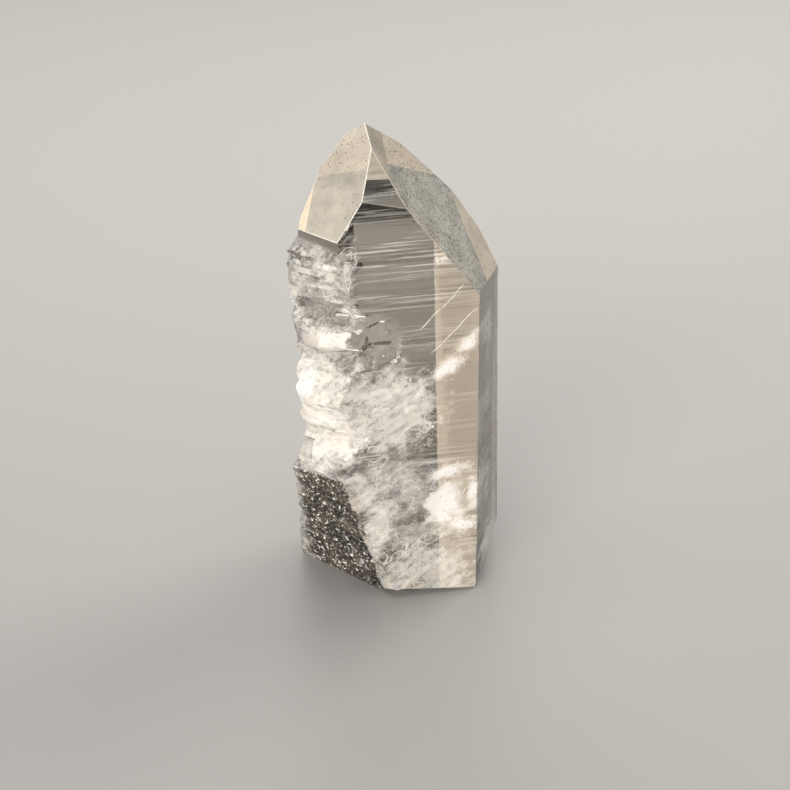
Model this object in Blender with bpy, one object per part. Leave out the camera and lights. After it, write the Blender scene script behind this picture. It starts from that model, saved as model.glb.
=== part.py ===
"""A lemurian quartz tower: one clear crystal point with its left flank broken away.

The stone is a six-sided prism cut from a block by planes. Ladder-like growth
steps run round its faces, its left flank is a field of conchoidal scars and
ledges, and its foot is a rough flat break that it stands on. All sizes are in
millimetres. Azimuths are measured from the front (-Y) towards the right (+X).
"""
import math

import bmesh
import bpy
from mathutils import Vector, noise

MM = 0.001

# Middle of the footprint, measured from the line that the prism faces are set out from.
STAND_CENTRE = (0.155, 0.737)
BLOCK_SIDE = 200.0

# Prism faces: azimuth, taper (lean of the face from upright) and a point on the face.
PRISM_FACES = (
    (0.0, 0.0, (0.0, -10.5, 30.0)),
    (60.0, 0.35, (9.12, -10.5, 46.3)),
    (120.0, 3.0, (14.5, -1.15, 46.3)),
    (180.0, 0.0, (0.0, 12.0, 30.0)),
    (-120.0, 0.0, (-14.24, -3.84, 55.3)),
    (-60.0, 0.0, (-10.4, -10.5, 55.5)),
)

# Facets of the point: azimuth, slope from level and a point on the facet.
TIP = (-5.3, -4.3, 69.4)
POINT_FACETS = (
    (60.2, 56.2, (9.12, -10.5, 46.27)),
    (-60.6, 61.2, (-10.4, -10.5, 55.49)),
    (6.5, 64.4, (-0.99, -10.5, 59.37)),
    (178.0, 46.0, TIP),
    (122.0, 45.0, (2.73, 0.61, 62.81)),
    (115.0, 62.0, (9.41, 2.56, 55.59)),
    (-118.0, 72.0, (-12.8, -2.8, 58.6)),
    (-122.0, 55.0, (-10.33, -1.82, 63.35)),
)

# Flat breaks low on the stone: azimuth, slope from level (over 90 faces down) and a point.
FOOT_BREAKS = (
    (-56.0, 109.0, (-7.14, -2.92, 0.0)),
    (75.0, 128.0, (14.9, -0.8, 4.0)),
    (-13.5, 154.0, (-4.0, -6.9, 0.0)),
    (168.0, 117.0, (0.0, 12.0, 5.0)),
)

# Growth steps: height of each ledge and how far the face stands out below it.
GROWTH_STEPS = (
    (7.5, 0.06), (12.0, 0.09), (16.5, 0.05), (21.6, 0.10), (24.0, 0.07), (30.5, 0.10),
    (36.2, 0.08), (40.4, 0.07), (44.6, 0.10), (47.5, 0.06), (50.6, 0.12), (52.6, 0.08),
    (55.2, 0.06), (57.8, 0.10),
)
STEP_RISE = 0.22
UPRIGHT = 0.12

# The broken flank lies between these azimuths and under this height.
FLANK_FRONT = -4.0
FLANK_BACK = -150.0
FLANK_TOP = 54.6
FLANK_COLUMN = 4.5
FLANK_ROW = 0.95

# How far the flank stands beyond the prism's left corner, by height.
FLANK_SWELL = (
    (0.0, 4.4), (5.3, 3.2), (9.3, 2.6), (14.1, 2.4), (17.5, 2.6), (19.5, 2.1), (22.1, 0.9),
    (24.8, -0.5), (27.0, 0.1), (29.1, 1.2), (32.0, 1.3), (34.1, 1.9), (36.0, 1.2), (38.0, 1.6),
    (41.7, 2.2), (42.8, 2.0), (43.9, 2.4), (46.1, 2.1), (49.2, 2.9), (51.8, 2.4), (53.4, 1.2),
    (54.3, 0.0),
)
SWELL_AZIMUTH = -96.0
SWELL_HALF_WIDTH = 52.0

# Scars: azimuth and downward tilt of the broken face, its distance from the axis at the
# middle of its height, and the lowest and highest level that it reaches.
SCARS = (
    (-46.0, 14.0, 13.9, 44.8, 54.0),
    (-78.0, -18.0, 15.7, 46.0, 51.4),
    (-38.0, -12.0, 12.9, 36.8, 44.4),
    (-68.0, 20.0, 15.2, 39.2, 45.2),
    (-56.0, -24.0, 13.6, 31.0, 38.0),
    (-88.0, 12.0, 15.6, 33.5, 39.0),
    (-44.0, 6.0, 13.7, 24.0, 31.0),
    (-64.0, -10.0, 13.9, 19.5, 26.5),
    (-112.0, 10.0, 12.6, 27.0, 41.0),
    (-128.0, -14.0, 12.2, 8.0, 22.0),
)
# The ledges that end a scar lean along the stone, and run out this far for each millimetre of height.
LEDGE_LEAN = 0.05
LEDGE_RUN = 1.6

# Conchoidal hollows: centre of the hollow on the surface, its radius and its depth.
HOLLOWS = (
    ((-5.4, -10.5, 40.6), 4.3, 1.1),
    ((-12.9, -6.4, 34.6), 3.6, 1.0),
    ((-14.9, -3.2, 53.0), 1.2, 0.7),
    ((-11.8, 0.6, 45.0), 4.0, 1.1),
    ((-9.4, -10.2, 27.5), 3.4, 0.9),
)

# Roughness of the broken stone and of the grainy foot break.
SCAR_CREASE = 0.25
SCAR_GRAIN = 0.28
FOOT_GRAIN = 0.38
GRAIN_SIZE = 2.1


def outward(azimuth, slope):
    """Direction that a face looks in, from its azimuth and its slope from level."""
    turn = math.radians(azimuth)
    lean = math.radians(slope)
    return Vector((math.sin(turn) * math.sin(lean), -math.cos(turn) * math.sin(lean), math.cos(lean)))


def start_clean():
    for old in list(bpy.data.objects):
        bpy.data.objects.remove(old, do_unlink=True)


def cut_face(stone, azimuth, slope, point):
    """Cut away all that lies beyond one flat face, and close the cut."""
    cut = bmesh.ops.bisect_plane(
        stone, geom=stone.verts[:] + stone.edges[:] + stone.faces[:], dist=1e-5,
        plane_co=Vector(point), plane_no=outward(azimuth, slope), clear_outer=True)
    rim = [item for item in cut["geom_cut"] if isinstance(item, bmesh.types.BMEdge)]
    if rim:
        bmesh.ops.contextual_create(stone, geom=rim)


def crystal_point():
    """The whole crystal with flat faces, standing on a level base."""
    stone = bmesh.new()
    bmesh.ops.create_cube(stone, size=BLOCK_SIDE)
    bmesh.ops.translate(stone, verts=stone.verts, vec=(0.0, 0.0, BLOCK_SIDE / 2.0))
    for azimuth, taper, point in PRISM_FACES:
        cut_face(stone, azimuth, 90.0 - taper, point)
    for azimuth, slope, point in POINT_FACETS + FOOT_BREAKS:
        cut_face(stone, azimuth, slope, point)
    return stone


def score(stone, faces, point, normal):
    """Divide the given faces along a plane without removing anything."""
    edges = {edge for face in faces for edge in face.edges}
    verts = {vert for face in faces for vert in face.verts}
    bmesh.ops.bisect_plane(
        stone, geom=list(verts) + list(edges) + list(faces), dist=1e-5,
        plane_co=Vector(point), plane_no=Vector(normal))


def azimuth_of(place):
    return math.degrees(math.atan2(place.x, -place.y))


def on_flank(face):
    middle = face.calc_center_median()
    return FLANK_BACK < azimuth_of(middle) < FLANK_FRONT and middle.z < FLANK_TOP + 3.0


def across(azimuth):
    """Direction that an upright plane through the axis faces, at this azimuth."""
    turn = math.radians(azimuth)
    return (math.cos(turn), math.sin(turn), 0.0)


def divide_faces(stone):
    """Give the steps their edges and the flank a mesh fine enough to break."""
    for height, _ in GROWTH_STEPS:
        score(stone, stone.faces[:], (0.0, 0.0, height), (0.0, 0.0, 1.0))
        score(stone, stone.faces[:], (0.0, 0.0, height + STEP_RISE), (0.0, 0.0, 1.0))
    score(stone, stone.faces[:], (0.0, 0.0, 0.0), across(FLANK_FRONT))
    score(stone, stone.faces[:], (0.0, 0.0, 0.0), across(FLANK_BACK))
    columns = round((FLANK_FRONT - FLANK_BACK) / FLANK_COLUMN)
    for column in range(1, columns):
        azimuth = FLANK_BACK + column * (FLANK_FRONT - FLANK_BACK) / columns
        score(stone, [face for face in stone.faces if on_flank(face)], (0.0, 0.0, 0.0), across(azimuth))
    for row in range(1, int(FLANK_TOP / FLANK_ROW) + 1):
        flank = [face for face in stone.faces if on_flank(face)]
        score(stone, flank, (0.0, 0.0, row * FLANK_ROW), (0.0, 0.0, 1.0))


def smooth_step(low, high, value):
    share = min(max((value - low) / (high - low), 0.0), 1.0)
    return share * share * (3.0 - 2.0 * share)


def swell(azimuth, height):
    """How far the flank stands out beyond the prism at this place."""
    amount = FLANK_SWELL[-1][1]
    for (low, start), (high, end) in zip(FLANK_SWELL, FLANK_SWELL[1:]):
        if low <= height <= high:
            amount = start + (end - start) * (height - low) / (high - low)
            break
    offset = abs(azimuth - SWELL_AZIMUTH) / SWELL_HALF_WIDTH
    return amount * max(0.0, 1.0 - offset * offset)


def soft_least(first, second, width):
    """The smaller of two distances, with the crease between them a little rounded."""
    share = max(width - abs(first - second), 0.0) / width
    return min(first, second) - share * share * width / 4.0


def scar_reach(way, azimuth, height, reach):
    """The distance from the axis, reduced to the nearest scar in this direction."""
    for scar_azimuth, tilt, distance, low, high in SCARS:
        closeness = outward(scar_azimuth, 90.0).dot(way)
        if closeness < 0.3:
            continue
        shift = (azimuth - scar_azimuth) * LEDGE_LEAN
        past = max(low + shift - height, height - high - shift, 0.0)
        leaned = distance + (height - (low + high) / 2.0) * math.tan(math.radians(tilt))
        reach = soft_least(reach, leaned / closeness + past * LEDGE_RUN, SCAR_CREASE)
    return reach


def hollow_depth(place):
    """How deep the conchoidal hollows are at this place."""
    depth = 0.0
    for centre, radius, deepest in HOLLOWS:
        away = (place - Vector(centre)).length / radius
        if away < 1.0:
            depth = max(depth, deepest * (1.0 - away * away))
    return depth


def grain(place, size, seed):
    return noise.noise((place + Vector((seed, -seed, 2.0 * seed))) / size)


def flank_share(azimuth, height):
    """One on the broken flank and nought on the sound faces."""
    sides = smooth_step(FLANK_FRONT, FLANK_FRONT - 10.0, azimuth)
    sides *= smooth_step(FLANK_BACK, FLANK_BACK + 18.0, azimuth)
    return sides * smooth_step(FLANK_TOP, FLANK_TOP - 1.2, height)


def step_out(height):
    """How far the upright faces stand out at this height, for the growth steps."""
    out = 0.0
    for count, (ledge, amount) in enumerate(GROWTH_STEPS):
        if height < ledge + STEP_RISE / 2.0:
            out += amount if count % 2 else -amount
    return out


def plane_reach(way, height, azimuth, slope, point):
    """Distance from the axis to a flat face, level, in the direction way."""
    facing = outward(azimuth, slope)
    closeness = facing.x * way.x + facing.y * way.y
    if closeness < 0.05:
        return BLOCK_SIDE
    return (facing.dot(Vector(point)) - facing.z * height) / closeness


def flank_reach(way, azimuth, height):
    """Distance from the axis to the broken flank: prism, swelling, scars and hollows."""
    reach = min(plane_reach(way, height, turn, 90.0 - taper, point)
                for turn, taper, point in PRISM_FACES)
    reach += step_out(height) * smooth_step(-50.0, -30.0, azimuth)
    reach += swell(azimuth, height)
    reach = scar_reach(way, azimuth, height, reach)
    place = Vector((way.x * reach, way.y * reach, height))
    reach -= hollow_depth(place)
    reach += SCAR_GRAIN * grain(place, GRAIN_SIZE, 7.0) * smooth_step(-24.0, -40.0, azimuth)
    for turn, slope, point in FOOT_BREAKS:
        foot = plane_reach(way, height, turn, slope, point)
        if foot < reach:
            reach = foot + FOOT_GRAIN * grain(place, GRAIN_SIZE, 3.0) * smooth_step(0.0, 1.0, height)
    return reach


def break_flank(stone):
    """Move the flank's surface out to its swellings and in to its scars."""
    for vert in stone.verts:
        azimuth = azimuth_of(vert.co)
        share = flank_share(azimuth, vert.co.z)
        level = Vector((vert.co.x, vert.co.y, 0.0))
        if share <= 0.0 or level.length < 5.0:
            continue
        way = level.normalized()
        reach = level.length
        reach += share * (flank_reach(way, azimuth, vert.co.z) - reach)
        vert.co.x = way.x * reach
        vert.co.y = way.y * reach


def raise_steps(stone):
    """Set each band of the sound upright faces out or in by its growth step."""
    stone.normal_update()
    moves = {}
    for vert in stone.verts:
        azimuth = azimuth_of(vert.co)
        upright = all(abs(face.normal.z) < UPRIGHT for face in vert.link_faces)
        if not upright or FLANK_BACK < azimuth < FLANK_FRONT - 26.0:
            continue
        out = sum((face.normal for face in vert.link_faces), Vector())
        moves[vert] = Vector((out.x, out.y, 0.0)).normalized() * step_out(vert.co.z)
    for vert, move in moves.items():
        vert.co += move


def finish_stone(stone):
    """Set the stone on the middle of its footprint and make it one closed mesh."""
    bmesh.ops.remove_doubles(stone, verts=stone.verts, dist=0.004)
    bmesh.ops.dissolve_degenerate(stone, edges=stone.edges, dist=0.004)
    bmesh.ops.triangulate(stone, faces=stone.faces)
    bmesh.ops.recalc_face_normals(stone, faces=stone.faces)
    bmesh.ops.translate(stone, verts=stone.verts, vec=(-STAND_CENTRE[0], -STAND_CENTRE[1], 0.0))
    bmesh.ops.scale(stone, verts=stone.verts, vec=(MM, MM, MM))


def quartz():
    """Clear, faintly smoky quartz."""
    material = bpy.data.materials.new("quartz")
    material.use_nodes = True
    shader = material.node_tree.nodes["Principled BSDF"]
    shader.inputs["Base Color"].default_value = (0.86, 0.82, 0.76, 1.0)
    shader.inputs["Roughness"].default_value = 0.08
    shader.inputs["Metallic"].default_value = 0.0
    shader.inputs["IOR"].default_value = 1.544
    shader.inputs["Transmission Weight"].default_value = 0.9
    return material


def make_tower():
    stone = crystal_point()
    divide_faces(stone)
    raise_steps(stone)
    break_flank(stone)
    finish_stone(stone)
    mesh = bpy.data.meshes.new("quartz_tower")
    stone.to_mesh(mesh)
    stone.free()
    mesh.materials.append(quartz())
    tower = bpy.data.objects.new("quartz_tower", mesh)
    group = bpy.data.collections.new("lemurian_quartz_tower")
    bpy.context.scene.collection.children.link(group)
    group.objects.link(tower)
    return tower


start_clean()
make_tower()
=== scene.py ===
"""The looks of a lemurian quartz tower: a clear crystal point with a faint smoke-grey tint.

The stone is set out in millimetres from the same planes as its solid, then given
fine growth lines, conchoidal scars, a grainy foot break, milky clouds, inner
fractures and trails of bubbles. Azimuths and slopes are in degrees, and azimuths
run from the front (-Y) towards the right (+X).
"""
import math
import random

import bmesh
import bpy
from mathutils import Matrix, Vector, noise
from mathutils.bvhtree import BVHTree


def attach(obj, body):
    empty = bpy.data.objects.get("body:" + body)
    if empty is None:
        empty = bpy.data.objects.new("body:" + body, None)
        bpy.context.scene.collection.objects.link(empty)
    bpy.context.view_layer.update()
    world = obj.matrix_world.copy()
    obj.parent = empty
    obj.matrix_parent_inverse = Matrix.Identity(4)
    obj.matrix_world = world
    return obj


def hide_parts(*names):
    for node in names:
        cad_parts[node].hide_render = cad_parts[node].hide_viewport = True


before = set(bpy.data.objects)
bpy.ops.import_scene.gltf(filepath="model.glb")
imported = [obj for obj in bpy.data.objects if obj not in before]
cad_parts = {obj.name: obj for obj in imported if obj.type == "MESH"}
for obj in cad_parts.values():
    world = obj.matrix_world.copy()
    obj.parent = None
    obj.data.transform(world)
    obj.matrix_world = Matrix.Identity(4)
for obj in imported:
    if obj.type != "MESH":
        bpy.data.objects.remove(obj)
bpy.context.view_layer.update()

MM = 0.001

# Middle of the footprint, measured from the line that the prism faces are set out from.
STAND_CENTRE = (0.155, 0.737)
BLOCK_SIDE = 200.0

# Prism faces: azimuth, taper (lean of the face from upright) and a point on the face.
PRISM_FACES = (
    (0.0, 0.0, (0.0, -10.5, 30.0)),
    (60.0, 0.35, (9.12, -10.5, 46.3)),
    (120.0, 3.0, (14.5, -1.15, 46.3)),
    (180.0, 0.0, (0.0, 12.0, 30.0)),
    (-120.0, 0.0, (-14.24, -3.84, 55.3)),
    (-60.0, 0.0, (-10.4, -10.5, 55.5)),
)

# Facets of the point: azimuth, slope from level and a point on the facet.
TIP = (-5.3, -4.3, 69.4)
POINT_FACETS = (
    (60.2, 56.2, (9.12, -10.5, 46.27)),
    (-60.6, 61.2, (-10.4, -10.5, 55.49)),
    (6.5, 64.4, (-0.99, -10.5, 59.37)),
    (178.0, 46.0, TIP),
    (122.0, 45.0, (2.73, 0.61, 62.81)),
    (115.0, 62.0, (9.41, 2.56, 55.59)),
    (-118.0, 72.0, (-12.8, -2.8, 58.6)),
    (-122.0, 55.0, (-10.33, -1.82, 63.35)),
)

# Zones on flat faces where a far face shows through, painted as reflections: azimuth and slope of
# the face, the line that has the zone on its left, and how dark, how warm and how pitted the
# painted reflection in the zone is.
ZONES = (
    (-60.6, 61.2, (-5.9, -8.37, 64.53), (-11.36, -1.96, 61.6), 0.2, 0.35, 0.05),
    (-60.6, 61.2, (-11.36, -1.96, 61.6), (-5.9, -8.37, 64.53), 0.14, 0.6, 0.95),
    (-60.6, 61.2, (-13.37, -4.9, 55.78), (-11.5, -2.1, 61.5), 0.0, 1.0, 0.0),
    (6.5, 64.4, (-3.17, -8.96, 63.08), (-6.1, -9.19, 63.3), 0.4, 0.0, 0.3),
    (6.5, 64.4, (-6.1, -9.19, 63.3), (-3.17, -8.96, 63.08), 0.0, 0.7, 0.6),
    (60.2, 56.2, (-2.45, -6.48, 64.26), (6.07, 1.73, 59.3), 0.0, 0.75, 0.97),
    (60.2, 56.2, (-2.68, -6.53, 64.51), (-2.47, -2.6, 67.16), 0.3, 0.5, 0.6),
    (60.2, 56.2, (8.29, 2.29, 56.84), (11.43, -6.46, 46.27), 0.0, 0.65, 0.5),
    (60.0, 89.65, (13.6, -2.75, 5.0), (13.6, -2.75, 45.0), 0.65, 0.0, 0.0),
    (60.0, 89.65, (13.6, -2.75, 45.0), (13.6, -2.75, 5.0), 0.15, 0.5, 0.0),
    (0.0, 90.0, (-5.0, -10.5, 52.9), (5.0, -10.5, 52.9), 0.08, 0.0, 0.0),
    (0.0, 90.0, (5.0, -10.5, 52.9), (-5.0, -10.5, 52.9), 0.4, 0.0, 0.0),
    (0.0, 90.0, (5.0, -10.5, 52.0), (-5.0, -10.5, 52.0), 0.0, 0.0, 0.0),
    (0.0, 90.0, (5.0, -10.5, 48.2), (-5.0, -10.5, 48.2), 0.16, 0.0, 0.0),
    (0.0, 90.0, (2.7, -10.5, 52.0), (3.9, -10.5, 6.0), 0.0, 0.8, 0.3),
)

# How near a face lies to the plane of its zone, and how closely it faces the same way.
ZONE_REACH = 0.4
SMOOTH_ZONE_MATCH = 0.97
STEPPED_ZONE_MATCH = 0.8

# Lowest level and least upward lean of a tip facet, and how satin and pitted the facets are.
FACETS_FOOT = 45.0
FACET_LEAN = 0.25
FRONT_SATIN = 0.2
RIGHT_FACET_PITS = 1.0
OTHER_FACET_PITS = 0.35

# Width of the wear on the sound edges, and how white the highlight painted along them is: whitest
# round the left facet.
EDGE_WEAR = 0.08
LEFT_FACET_FOOT = 53.0
LEFT_FACET_EDGE = -4.7
LEFT_FACET_HIGHLIGHT = 0.9
OTHER_EDGE_HIGHLIGHT = 0.22

# Flat breaks low on the stone: azimuth, slope from level (over 90 faces down) and a point.
FOOT_BREAKS = (
    (-56.0, 109.0, (-7.14, -2.92, 0.0)),
    (75.0, 128.0, (14.9, -0.8, 4.0)),
    (-13.5, 154.0, (-4.0, -6.9, 0.0)),
    (168.0, 117.0, (0.0, 12.0, 5.0)),
)

# Growth steps: height of each ledge and how far the face stands out below it.
GROWTH_STEPS = (
    (7.5, 0.06), (12.0, 0.09), (16.5, 0.05), (21.6, 0.10), (24.0, 0.07), (30.5, 0.10),
    (36.2, 0.08), (40.4, 0.07), (44.6, 0.10), (47.5, 0.06), (50.6, 0.12), (52.6, 0.08),
    (55.2, 0.06), (57.8, 0.10),
)
STEP_RISE = 0.22
UPRIGHT = 0.12

# Depth of the fine growth lines, and the share of the front's steps and fine lines that the
# other sides have.
FINE_STEP_DEPTH = 0.035
SIDE_STEPS = 0.4
SIDE_LINES = 0.3

# The broken flank lies between these azimuths and under this height.
FLANK_FRONT = -4.0
FLANK_BACK = -150.0
FLANK_TOP = 54.6

# Mesh of the sides: degrees between columns on the flank and elsewhere, height of a row, and
# how many times each of its squares is cut again.
FLANK_COLUMN = 4.5
SOUND_COLUMN = 9.0
ROW = 0.96
FINE_CUTS = 3

# How far the flank stands beyond the prism's left corner, by height.
FLANK_SWELL = (
    (0.0, 4.4), (5.3, 3.2), (9.3, 2.6), (14.1, 2.4), (17.5, 2.6), (19.5, 2.1), (22.1, 0.9),
    (24.8, -0.5), (27.0, 0.1), (29.1, 1.2), (32.0, 1.3), (34.1, 1.9), (36.0, 1.2), (38.0, 1.6),
    (41.7, 2.2), (42.8, 2.0), (43.9, 2.4), (46.1, 2.1), (49.2, 2.9), (51.8, 2.4), (53.4, 1.2),
    (54.3, 0.0),
)
SWELL_AZIMUTH = -96.0
SWELL_HALF_WIDTH = 52.0

# Left edge of the sound front face, by height.
FACE_EDGE = (
    (0.0, -5.0), (3.0, -5.6), (9.5, -6.6), (17.0, -8.8), (21.0, -10.4), (33.0, -9.6),
    (36.1, -8.3), (37.0, -5.7), (37.8, -3.2), (39.6, -2.2), (41.5, -1.8), (44.6, -3.0),
    (44.9, -6.9), (45.6, -7.1), (48.2, -8.7), (53.0, -9.9), (56.0, -10.6),
)

# Right edge of the dark grainy patch on the foot break, by height.
PATCH_EDGE = (
    (0.0, -5.1), (7.6, -6.7), (12.5, -7.9), (16.0, -8.6), (18.9, -9.3), (19.9, -10.4),
    (20.6, -16.0), (22.0, -20.0),
)

# Azimuth of the pale rim at the patch's left, at the base, and its change for each
# millimetre up.
PALE_RIM = -112.5
PALE_RIM_LEAN = 1.75

# Height and breadth of the lumps on the foot breaks, and the level under which stone beside
# the patch is stained.
FOOT_GRAIN = 0.38
FOOT_CELL = 0.85
STAIN_TOP = 20.0

# Scars: azimuth and downward tilt of the broken face, its distance from the axis at the
# middle of its height, and the lowest and highest level that it reaches.
SCARS = (
    (-46.0, 14.0, 13.9, 44.8, 54.0),
    (-78.0, -18.0, 15.7, 46.0, 51.4),
    (-38.0, -12.0, 12.9, 36.8, 44.4),
    (-68.0, 20.0, 15.2, 39.2, 45.2),
    (-56.0, -24.0, 13.6, 31.0, 38.0),
    (-88.0, 12.0, 15.6, 33.5, 39.0),
    (-44.0, 6.0, 13.7, 24.0, 31.0),
    (-64.0, -10.0, 13.9, 19.5, 26.5),
    (-112.0, 10.0, 12.6, 27.0, 41.0),
    (-128.0, -14.0, 12.2, 8.0, 22.0),
)

# Ledges at the ends of the scars: their lean and wander along the stone, and how far they run
# out for each millimetre of height. The creases between scars are a little rounded.
LEDGE_LEAN = 0.05
LEDGE_WANDER = 0.5
LEDGE_RUN = 1.6
SCAR_CREASE = 0.12
SCAR_GRAIN = 0.14
GRAIN_SIZE = 2.1

# Flat splinters on the flank: size, how far they tilt out of the face, and a seed. The shifts
# set how each one leans.
CHIPS = ((3.4, 0.30, 41.0), (1.3, 0.08, 43.0))
SPLINTER_SHIFTS = ((9.3, -1.5, -7.9), (0.0, 0.0, 0.0), (6.3, 11.2, 5.2))

# Conchoidal hollows: centre of the hollow on the surface, its radius and its depth.
HOLLOWS = (
    ((-5.4, -10.5, 40.6), 4.3, 1.1),
    ((-12.9, -6.4, 34.6), 3.6, 1.0),
    ((-14.9, -3.2, 53.0), 1.2, 0.7),
    ((-11.8, 0.6, 45.0), 4.0, 1.1),
    ((-9.4, -10.2, 27.5), 3.4, 0.9),
)
RIPPLE_WAVE = 0.9
RIPPLE_DEPTH = 0.035

# Centre and radius of the hollow that is as smooth as glass.
GLASSY_HOLLOW = ((-4.6, -10.0, 40.9), 4.4)

# Milky places: centre, reach across, deep and up, tilt of the reach, and strength. The strongest
# ones, past the level where the white turns pure, are the bright reflection in the inner
# fractures, painted even and white on the surface. All have ragged edges.
CLOUDS = (
    ((-15.0, -5.0, 28.5), (11.0, 12.0, 11.5), 0.0, 1.22),
    ((-4.0, -10.5, 30.0), (8.5, 5.0, 7.4), 25.0, 0.95),
    ((-17.0, 0.0, 45.0), (4.2, 9.0, 10.0), 0.0, 0.95),
    ((-13.0, -8.0, 46.0), (4.0, 5.0, 9.0), 0.0, 0.34),
    ((-13.5, -8.0, 41.0), (3.0, 5.0, 1.8), -10.0, 0.9),
    ((-11.8, -6.0, 21.0), (3.6, 4.0, 2.6), 0.0, 1.0),
    ((-6.0, -10.0, 9.5), (2.6, 4.0, 11.5), -18.0, 1.0),
    ((1.0, -10.5, 2.4), (9.8, 5.0, 6.2), 6.0, 0.92),
    ((0.0, -10.5, 9.6), (6.5, 4.0, 3.4), 0.0, 0.62),
    ((-9.0, -10.5, 50.0), (1.6, 2.0, 7.5), 0.0, 0.5),
    ((5.5, -10.5, 11.0), (4.4, 3.0, 2.2), 0.0, 0.7),
    ((-3.5, -10.5, 17.5), (6.0, 4.0, 7.5), 0.0, 0.62),
    ((-8.2, -10.3, 18.0), (3.2, 4.0, 4.5), 0.0, 0.95),
    ((-8.5, -9.5, 34.0), (3.8, 4.0, 3.4), 0.0, 0.9),
    ((12.0, -5.7, 28.8), (2.6, 3.0, 3.2), 0.0, 0.8),
    ((13.5, -5.0, 2.5), (4.5, 7.0, 6.5), 0.0, 1.24),
    ((11.6, -6.4, 16.0), (1.8, 3.0, 6.5), 8.0, 1.8),
    ((11.4, -6.4, 39.0), (1.8, 3.0, 6.0), 12.0, 1.7),
    ((6.0, 12.0, 12.0), (8.0, 5.0, 9.0), 20.0, 0.7),
    ((-8.0, 10.0, 9.0), (7.0, 6.0, 6.0), 0.0, 0.8),
    ((-12.6, 3.8, 1.2), (1.6, 1.8, 1.6), 0.0, 1.0),
    ((4.7, -10.5, 35.9), (3.5, 1.9, 1.6), 34.0, 2.0),
    ((7.9, -10.5, 39.5), (2.8, 1.9, 1.3), 50.0, 1.9),
    ((4.5, -10.5, 14.7), (4.0, 1.9, 4.3), 0.0, 2.3),
    ((5.2, -10.5, 19.8), (3.9, 1.9, 1.6), 12.0, 1.9),
    ((8.9, -10.5, 16.0), (1.5, 1.9, 3.4), 0.0, 2.0),
    ((7.4, -10.5, 11.2), (3.4, 1.9, 1.7), 0.0, 2.0),
    ((3.9, -10.5, 51.8), (1.2, 1.2, 0.5), 0.0, 1.1),
    ((-9.2, -10.5, 51.9), (0.6, 1.5, 0.9), 0.0, 1.2),
)
CLOUD_FRAY = 0.3
# Frost past this level is the painted reflection in the bright fractures, pure white.
PAINTED_REFLECTION_LEVEL = 1.25
MOST_FROST = 1.6

# Thin pale lines where healed cracks meet the front face: both ends, as x and z.
HEALED_CRACKS = (((7.1, 48.0), (0.6, 41.8)), ((9.0, 44.6), (2.3, 38.1)))
CRACK_WIDTH = 0.13
CRACK_WANDER = 0.9
CRACK_FADE = 0.8

# Pale (above nought) and clear (below) facets of the broken flank, seen from the front.
FLANK_FACETS = (
    (1.0, ((-11.92, 52.91), (-11.05, 51.58), (-12.3, 49.24), (-12.78, 51.32))),
    (0.7, ((-12.4, 49.3), (-10.9, 51.4), (-10.4, 50.1), (-11.4, 48.7), (-12.57, 48.4))),
    (1.0, ((-15.17, 51.95), (-12.57, 48.8), (-12.6, 48.35), (-15.1, 51.4))),
    (1.0, ((-12.57, 48.8), (-9.74, 45.9), (-9.8, 45.4), (-12.6, 48.35))),
    (1.0, ((-9.74, 45.9), (-7.5, 44.3), (-7.6, 43.85), (-9.8, 45.4))),
    (1.0, ((-14.24, 40.63), (-8.26, 41.93), (-9.63, 39.26), (-13.2, 38.0))),
    (-1.0, ((-10.4, 44.6), (-8.6, 44.2), (-8.3, 42.9), (-10.0, 42.9))),
    (-0.8, ((-15.08, 51.75), (-13.18, 53.31), (-12.57, 48.56), (-14.59, 50.24))),
    (-0.6, ((-14.5, 45.67), (-10.56, 46.67), (-8.25, 43.09), (-12.67, 41.8))),
)
FACETS_RIGHT_END = -7.0
PALE_FACET_FROST = 1.15
CLEAR_FACET_FROST = 0.2

# Inner fractures: centre, azimuth and slope they face, turn, half width and half height,
# crumple, frosting and brown stain.
FRACTURES = (
    ((6.5, -8.9, 37.3), -12.0, 72.0, 42.0, (4.3, 1.15), 0.45, 1.6, 0.0),
    ((9.3, -8.6, 39.6), -12.0, 70.0, 35.0, (1.4, 0.7), 0.3, 1.6, 0.0),
    ((6.6, -8.6, 14.6), -10.0, 70.0, 8.0, (3.0, 2.6), 0.6, 1.7, 0.0),
    ((7.9, -8.2, 17.9), -8.0, 66.0, 38.0, (3.3, 1.2), 0.6, 1.5, 0.0),
    ((3.2, -9.0, 12.6), -12.0, 74.0, 8.0, (2.6, 0.6), 0.5, 1.2, 0.0),
    ((8.9, -7.6, 12.0), -12.0, 64.0, -10.0, (2.0, 1.6), 0.8, 1.4, 0.1),
    ((0.6, -8.0, 17.0), -30.0, 72.0, 60.0, (4.6, 2.6), 0.9, 0.7, 0.0),
    ((-6.0, -6.0, 29.0), -35.0, 66.0, 20.0, (6.0, 6.0), 1.2, 0.9, 0.0),
    ((-0.5, -7.4, 32.0), -20.0, 72.0, 28.0, (6.6, 2.6), 0.9, 0.8, 0.0),
    ((1.5, -7.0, 25.5), -15.0, 74.0, 30.0, (6.0, 2.6), 0.9, 0.65, 0.0),
    ((1.6, -4.0, 5.2), -15.0, 40.0, 10.0, (7.0, 4.0), 1.2, 0.9, 0.35),
    ((-4.6, -7.2, 10.0), -30.0, 78.0, 72.0, (7.0, 1.6), 0.7, 1.1, 0.1),
    ((12.0, -3.5, 27.0), 40.0, 74.0, 80.0, (2.6, 1.0), 0.5, 1.0, 0.0),
)
FRACTURE_HALF_GAP = 0.02

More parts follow.
